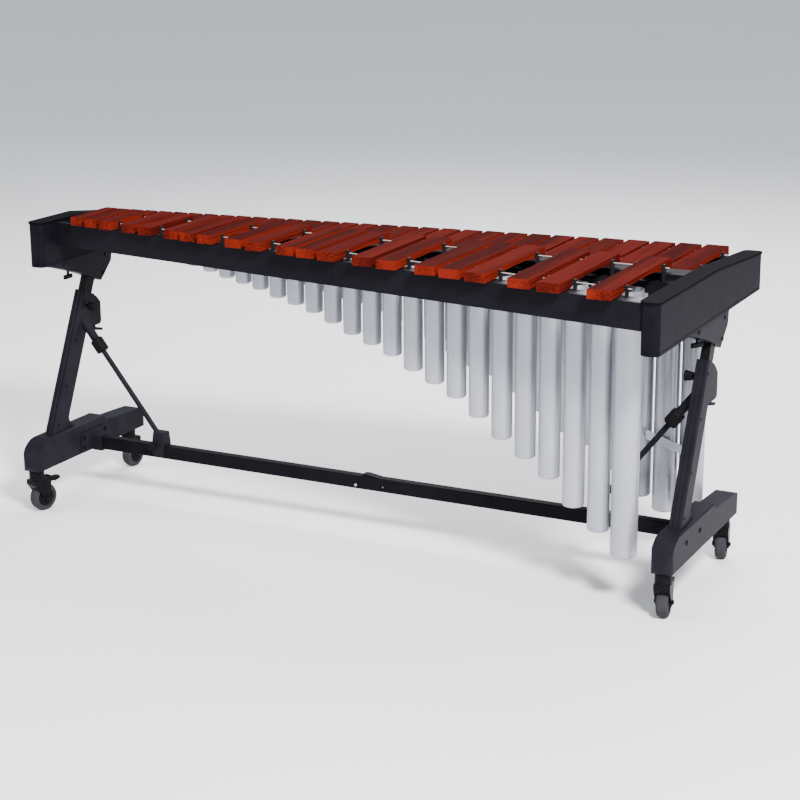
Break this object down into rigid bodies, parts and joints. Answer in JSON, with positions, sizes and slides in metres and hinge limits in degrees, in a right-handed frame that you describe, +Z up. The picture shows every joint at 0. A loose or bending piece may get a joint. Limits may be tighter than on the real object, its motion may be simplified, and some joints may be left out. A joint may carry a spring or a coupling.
{
  "type": "concert marimba",
  "caption": "Concert marimba with two rows of wooden bars over tuned tube resonators, on a wheeled frame with leaning height-adjustable legs.",
  "frame": {"origin": "on the floor, under the middle of the instrument", "axes": "+X along the bars' row towards the low notes, +Y towards the player, +Z up"},
  "size_m": [2.06, 0.8665, 0.9],
  "materials": {
    "bar_wood": "polished red hardwood",
    "cord": "braided cord",
    "post": "satin",
    "board": "dark satin lacquer",
    "rail": "silver-grey paint",
    "beam": "dark satin paint",
    "tube": "satin anodised",
    "block": "fine texture",
    "cap": "smooth satin",
    "frame": "cast and drawn, with a textured powder coat",
    "crossbar": "textured powder coat",
    "steel": "satin",
    "knob": "satin",
    "fork": "black enamel",
    "tread": "grey rubber"
  },
  "bodies": {
    "base": {"brace_clamps": "frame", "brace_collars": "knob", "brace_rods": "frame", "bracket_bolts": "steel", "crossbar_brackets": "frame", "crossbar_latch": "frame", "crossbar_sleeve": "steel", "high_brace_tube": "frame", "high_crossbar": "crossbar", "high_foot": "frame", "high_lever_housing": "frame", "high_pillar": "frame", "low_brace_tube": "frame", "low_crossbar": "crossbar", "low_foot": "frame", "low_lever_housing": "frame", "low_pillar": "frame"},
    "top_frame": {"natural_bars": "bar_wood", "accidental_bars": "bar_wood", "bar_cords": "cord", "bar_posts": "post", "front_boards": "board", "rear_boards": "board", "front_rail": "rail", "rear_rail": "beam", "centre_rail": "beam", "natural_resonators": "tube", "accidental_resonators": "tube", "resonator_strips": "tube", "resonator_spacer": "steel", "low_end_block": "block", "high_end_block": "block", "low_top_cap": "cap", "high_top_cap": "cap", "low_gusset": "frame", "high_gusset": "frame", "low_inner_tube": "fork", "high_inner_tube": "fork", "height_racks": "steel"},
    "low_height_release_body": {"low_height_lever": "knob"},
    "low_leg_knob_turn_body": {"low_leg_knob": "knob"},
    "low_block_knob_turn_body": {"low_block_knob": "knob"},
    "low_brace_knob_turn_body": {"low_brace_knob": "knob"},
    "high_height_release_body": {"high_height_lever": "knob"},
    "high_leg_knob_turn_body": {"high_leg_knob": "knob"},
    "high_block_knob_turn_body": {"high_block_knob": "knob"},
    "high_brace_knob_turn_body": {"high_brace_knob": "knob"},
    "button_body": {"crossbar_button": "steel"},
    "low_front_swivel_body": {"low_front_fork": "fork"},
    "low_front_spin_body": {"low_front_wheel": "tread"},
    "low_front_brake_press_body": {"low_front_brake": "fork"},
    "low_rear_swivel_body": {"low_rear_fork": "fork"},
    "low_rear_spin_body": {"low_rear_wheel": "tread"},
    "high_front_swivel_body": {"high_front_fork": "fork"},
    "high_front_spin_body": {"high_front_wheel": "tread"},
    "high_front_brake_press_body": {"high_front_brake": "fork"},
    "high_rear_swivel_body": {"high_rear_fork": "fork"},
    "high_rear_spin_body": {"high_rear_wheel": "tread"}
  },
  "joints": [
    {"name": "height_slide", "type": "slide", "parent": "base", "child": "top_frame", "axis": [0, 0.4179, 0.9085], "range_m": [-0.02, 0.12]},
    {"name": "low_height_release", "type": "hinge", "parent": "base", "child": "low_height_release_body", "pos_m": [1, 0.062, 0.52], "axis": [1, 0, 0], "range_deg": [0, 12], "stiffness_Nm_per_rad": 0.5, "springref_deg": -8.59},
    {"name": "low_leg_knob_turn", "type": "hinge", "parent": "base", "child": "low_leg_knob_turn_body", "pos_m": [0.972, 0.01106, 0.586], "axis": [-1, 0, 0], "range_deg": [-180, 180]},
    {"name": "low_block_knob_turn", "type": "hinge", "parent": "top_frame", "child": "low_block_knob_turn_body", "pos_m": [1, -0.052, 0.7], "axis": [0, 0, 1], "range_deg": [-180, 180]},
    {"name": "low_brace_knob_turn", "type": "hinge", "parent": "base", "child": "low_brace_knob_turn_body", "pos_m": [0.727, -0.025, 0.178], "axis": [0, -1, 0], "range_deg": [-180, 180]},
    {"name": "high_height_release", "type": "hinge", "parent": "base", "child": "high_height_release_body", "pos_m": [-1, 0.062, 0.52], "axis": [1, 0, 0], "range_deg": [0, 12], "stiffness_Nm_per_rad": 0.5, "springref_deg": -8.59},
    {"name": "high_leg_knob_turn", "type": "hinge", "parent": "base", "child": "high_leg_knob_turn_body", "pos_m": [-0.972, 0.01106, 0.586], "axis": [1, 0, 0], "range_deg": [-180, 180]},
    {"name": "high_block_knob_turn", "type": "hinge", "parent": "top_frame", "child": "high_block_knob_turn_body", "pos_m": [-1, -0.052, 0.7], "axis": [0, 0, 1], "range_deg": [-180, 180]},
    {"name": "high_brace_knob_turn", "type": "hinge", "parent": "base", "child": "high_brace_knob_turn_body", "pos_m": [-0.727, -0.025, 0.178], "axis": [0, -1, 0], "range_deg": [-180, 180]},
    {"name": "button_press", "type": "slide", "parent": "base", "child": "button_body", "axis": [0, 1, 0], "range_m": [0, 0.003], "stiffness_N_per_m": 300, "springref_m": -0.002},
    {"name": "low_front_swivel", "type": "hinge", "parent": "base", "child": "low_front_swivel_body", "pos_m": [1, -0.262, 0.14], "axis": [0, 0, 1], "continuous": true},
    {"name": "low_front_spin", "type": "hinge", "parent": "low_front_swivel_body", "child": "low_front_spin_body", "pos_m": [0.99687, -0.24225, 0.042], "axis": [0.9877, 0.1564, 0], "continuous": true},
    {"name": "low_front_brake_press", "type": "hinge", "parent": "low_front_swivel_body", "child": "low_front_brake_press_body", "pos_m": [0.99218, -0.21262, 0.096], "axis": [0.9877, 0.1564, 0], "range_deg": [-10, 0]},
    {"name": "low_rear_swivel", "type": "hinge", "parent": "base", "child": "low_rear_swivel_body", "pos_m": [1, 0.225, 0.14], "axis": [0, 0, 1], "continuous": true},
    {"name": "low_rear_spin", "type": "hinge", "parent": "low_rear_swivel_body", "child": "low_rear_spin_body", "pos_m": [0.99584, 0.24456, 0.042], "axis": [0.9781, 0.2079, 0], "continuous": true},
    {"name": "high_front_swivel", "type": "hinge", "parent": "base", "child": "high_front_swivel_body", "pos_m": [-1, -0.262, 0.14], "axis": [0, 0, 1], "continuous": true},
    {"name": "high_front_spin", "type": "hinge", "parent": "high_front_swivel_body", "child": "high_front_spin_body", "pos_m": [-0.99449, -0.24277, 0.042], "axis": [0.9613, -0.2756, 0], "continuous": true},
    {"name": "high_front_brake_press", "type": "hinge", "parent": "high_front_swivel_body", "child": "high_front_brake_press_body", "pos_m": [-0.98622, -0.21394, 0.096], "axis": [0.9613, -0.2756, 0], "range_deg": [-10, 0]},
    {"name": "high_rear_swivel", "type": "hinge", "parent": "base", "child": "high_rear_swivel_body", "pos_m": [-1, 0.225, 0.14], "axis": [0, 0, 1], "continuous": true},
    {"name": "high_rear_spin", "type": "hinge", "parent": "high_rear_swivel_body", "child": "high_rear_spin_body", "pos_m": [-0.9986, 0.24495, 0.042], "axis": [0.9976, -0.0698, 0], "continuous": true}
  ]
}
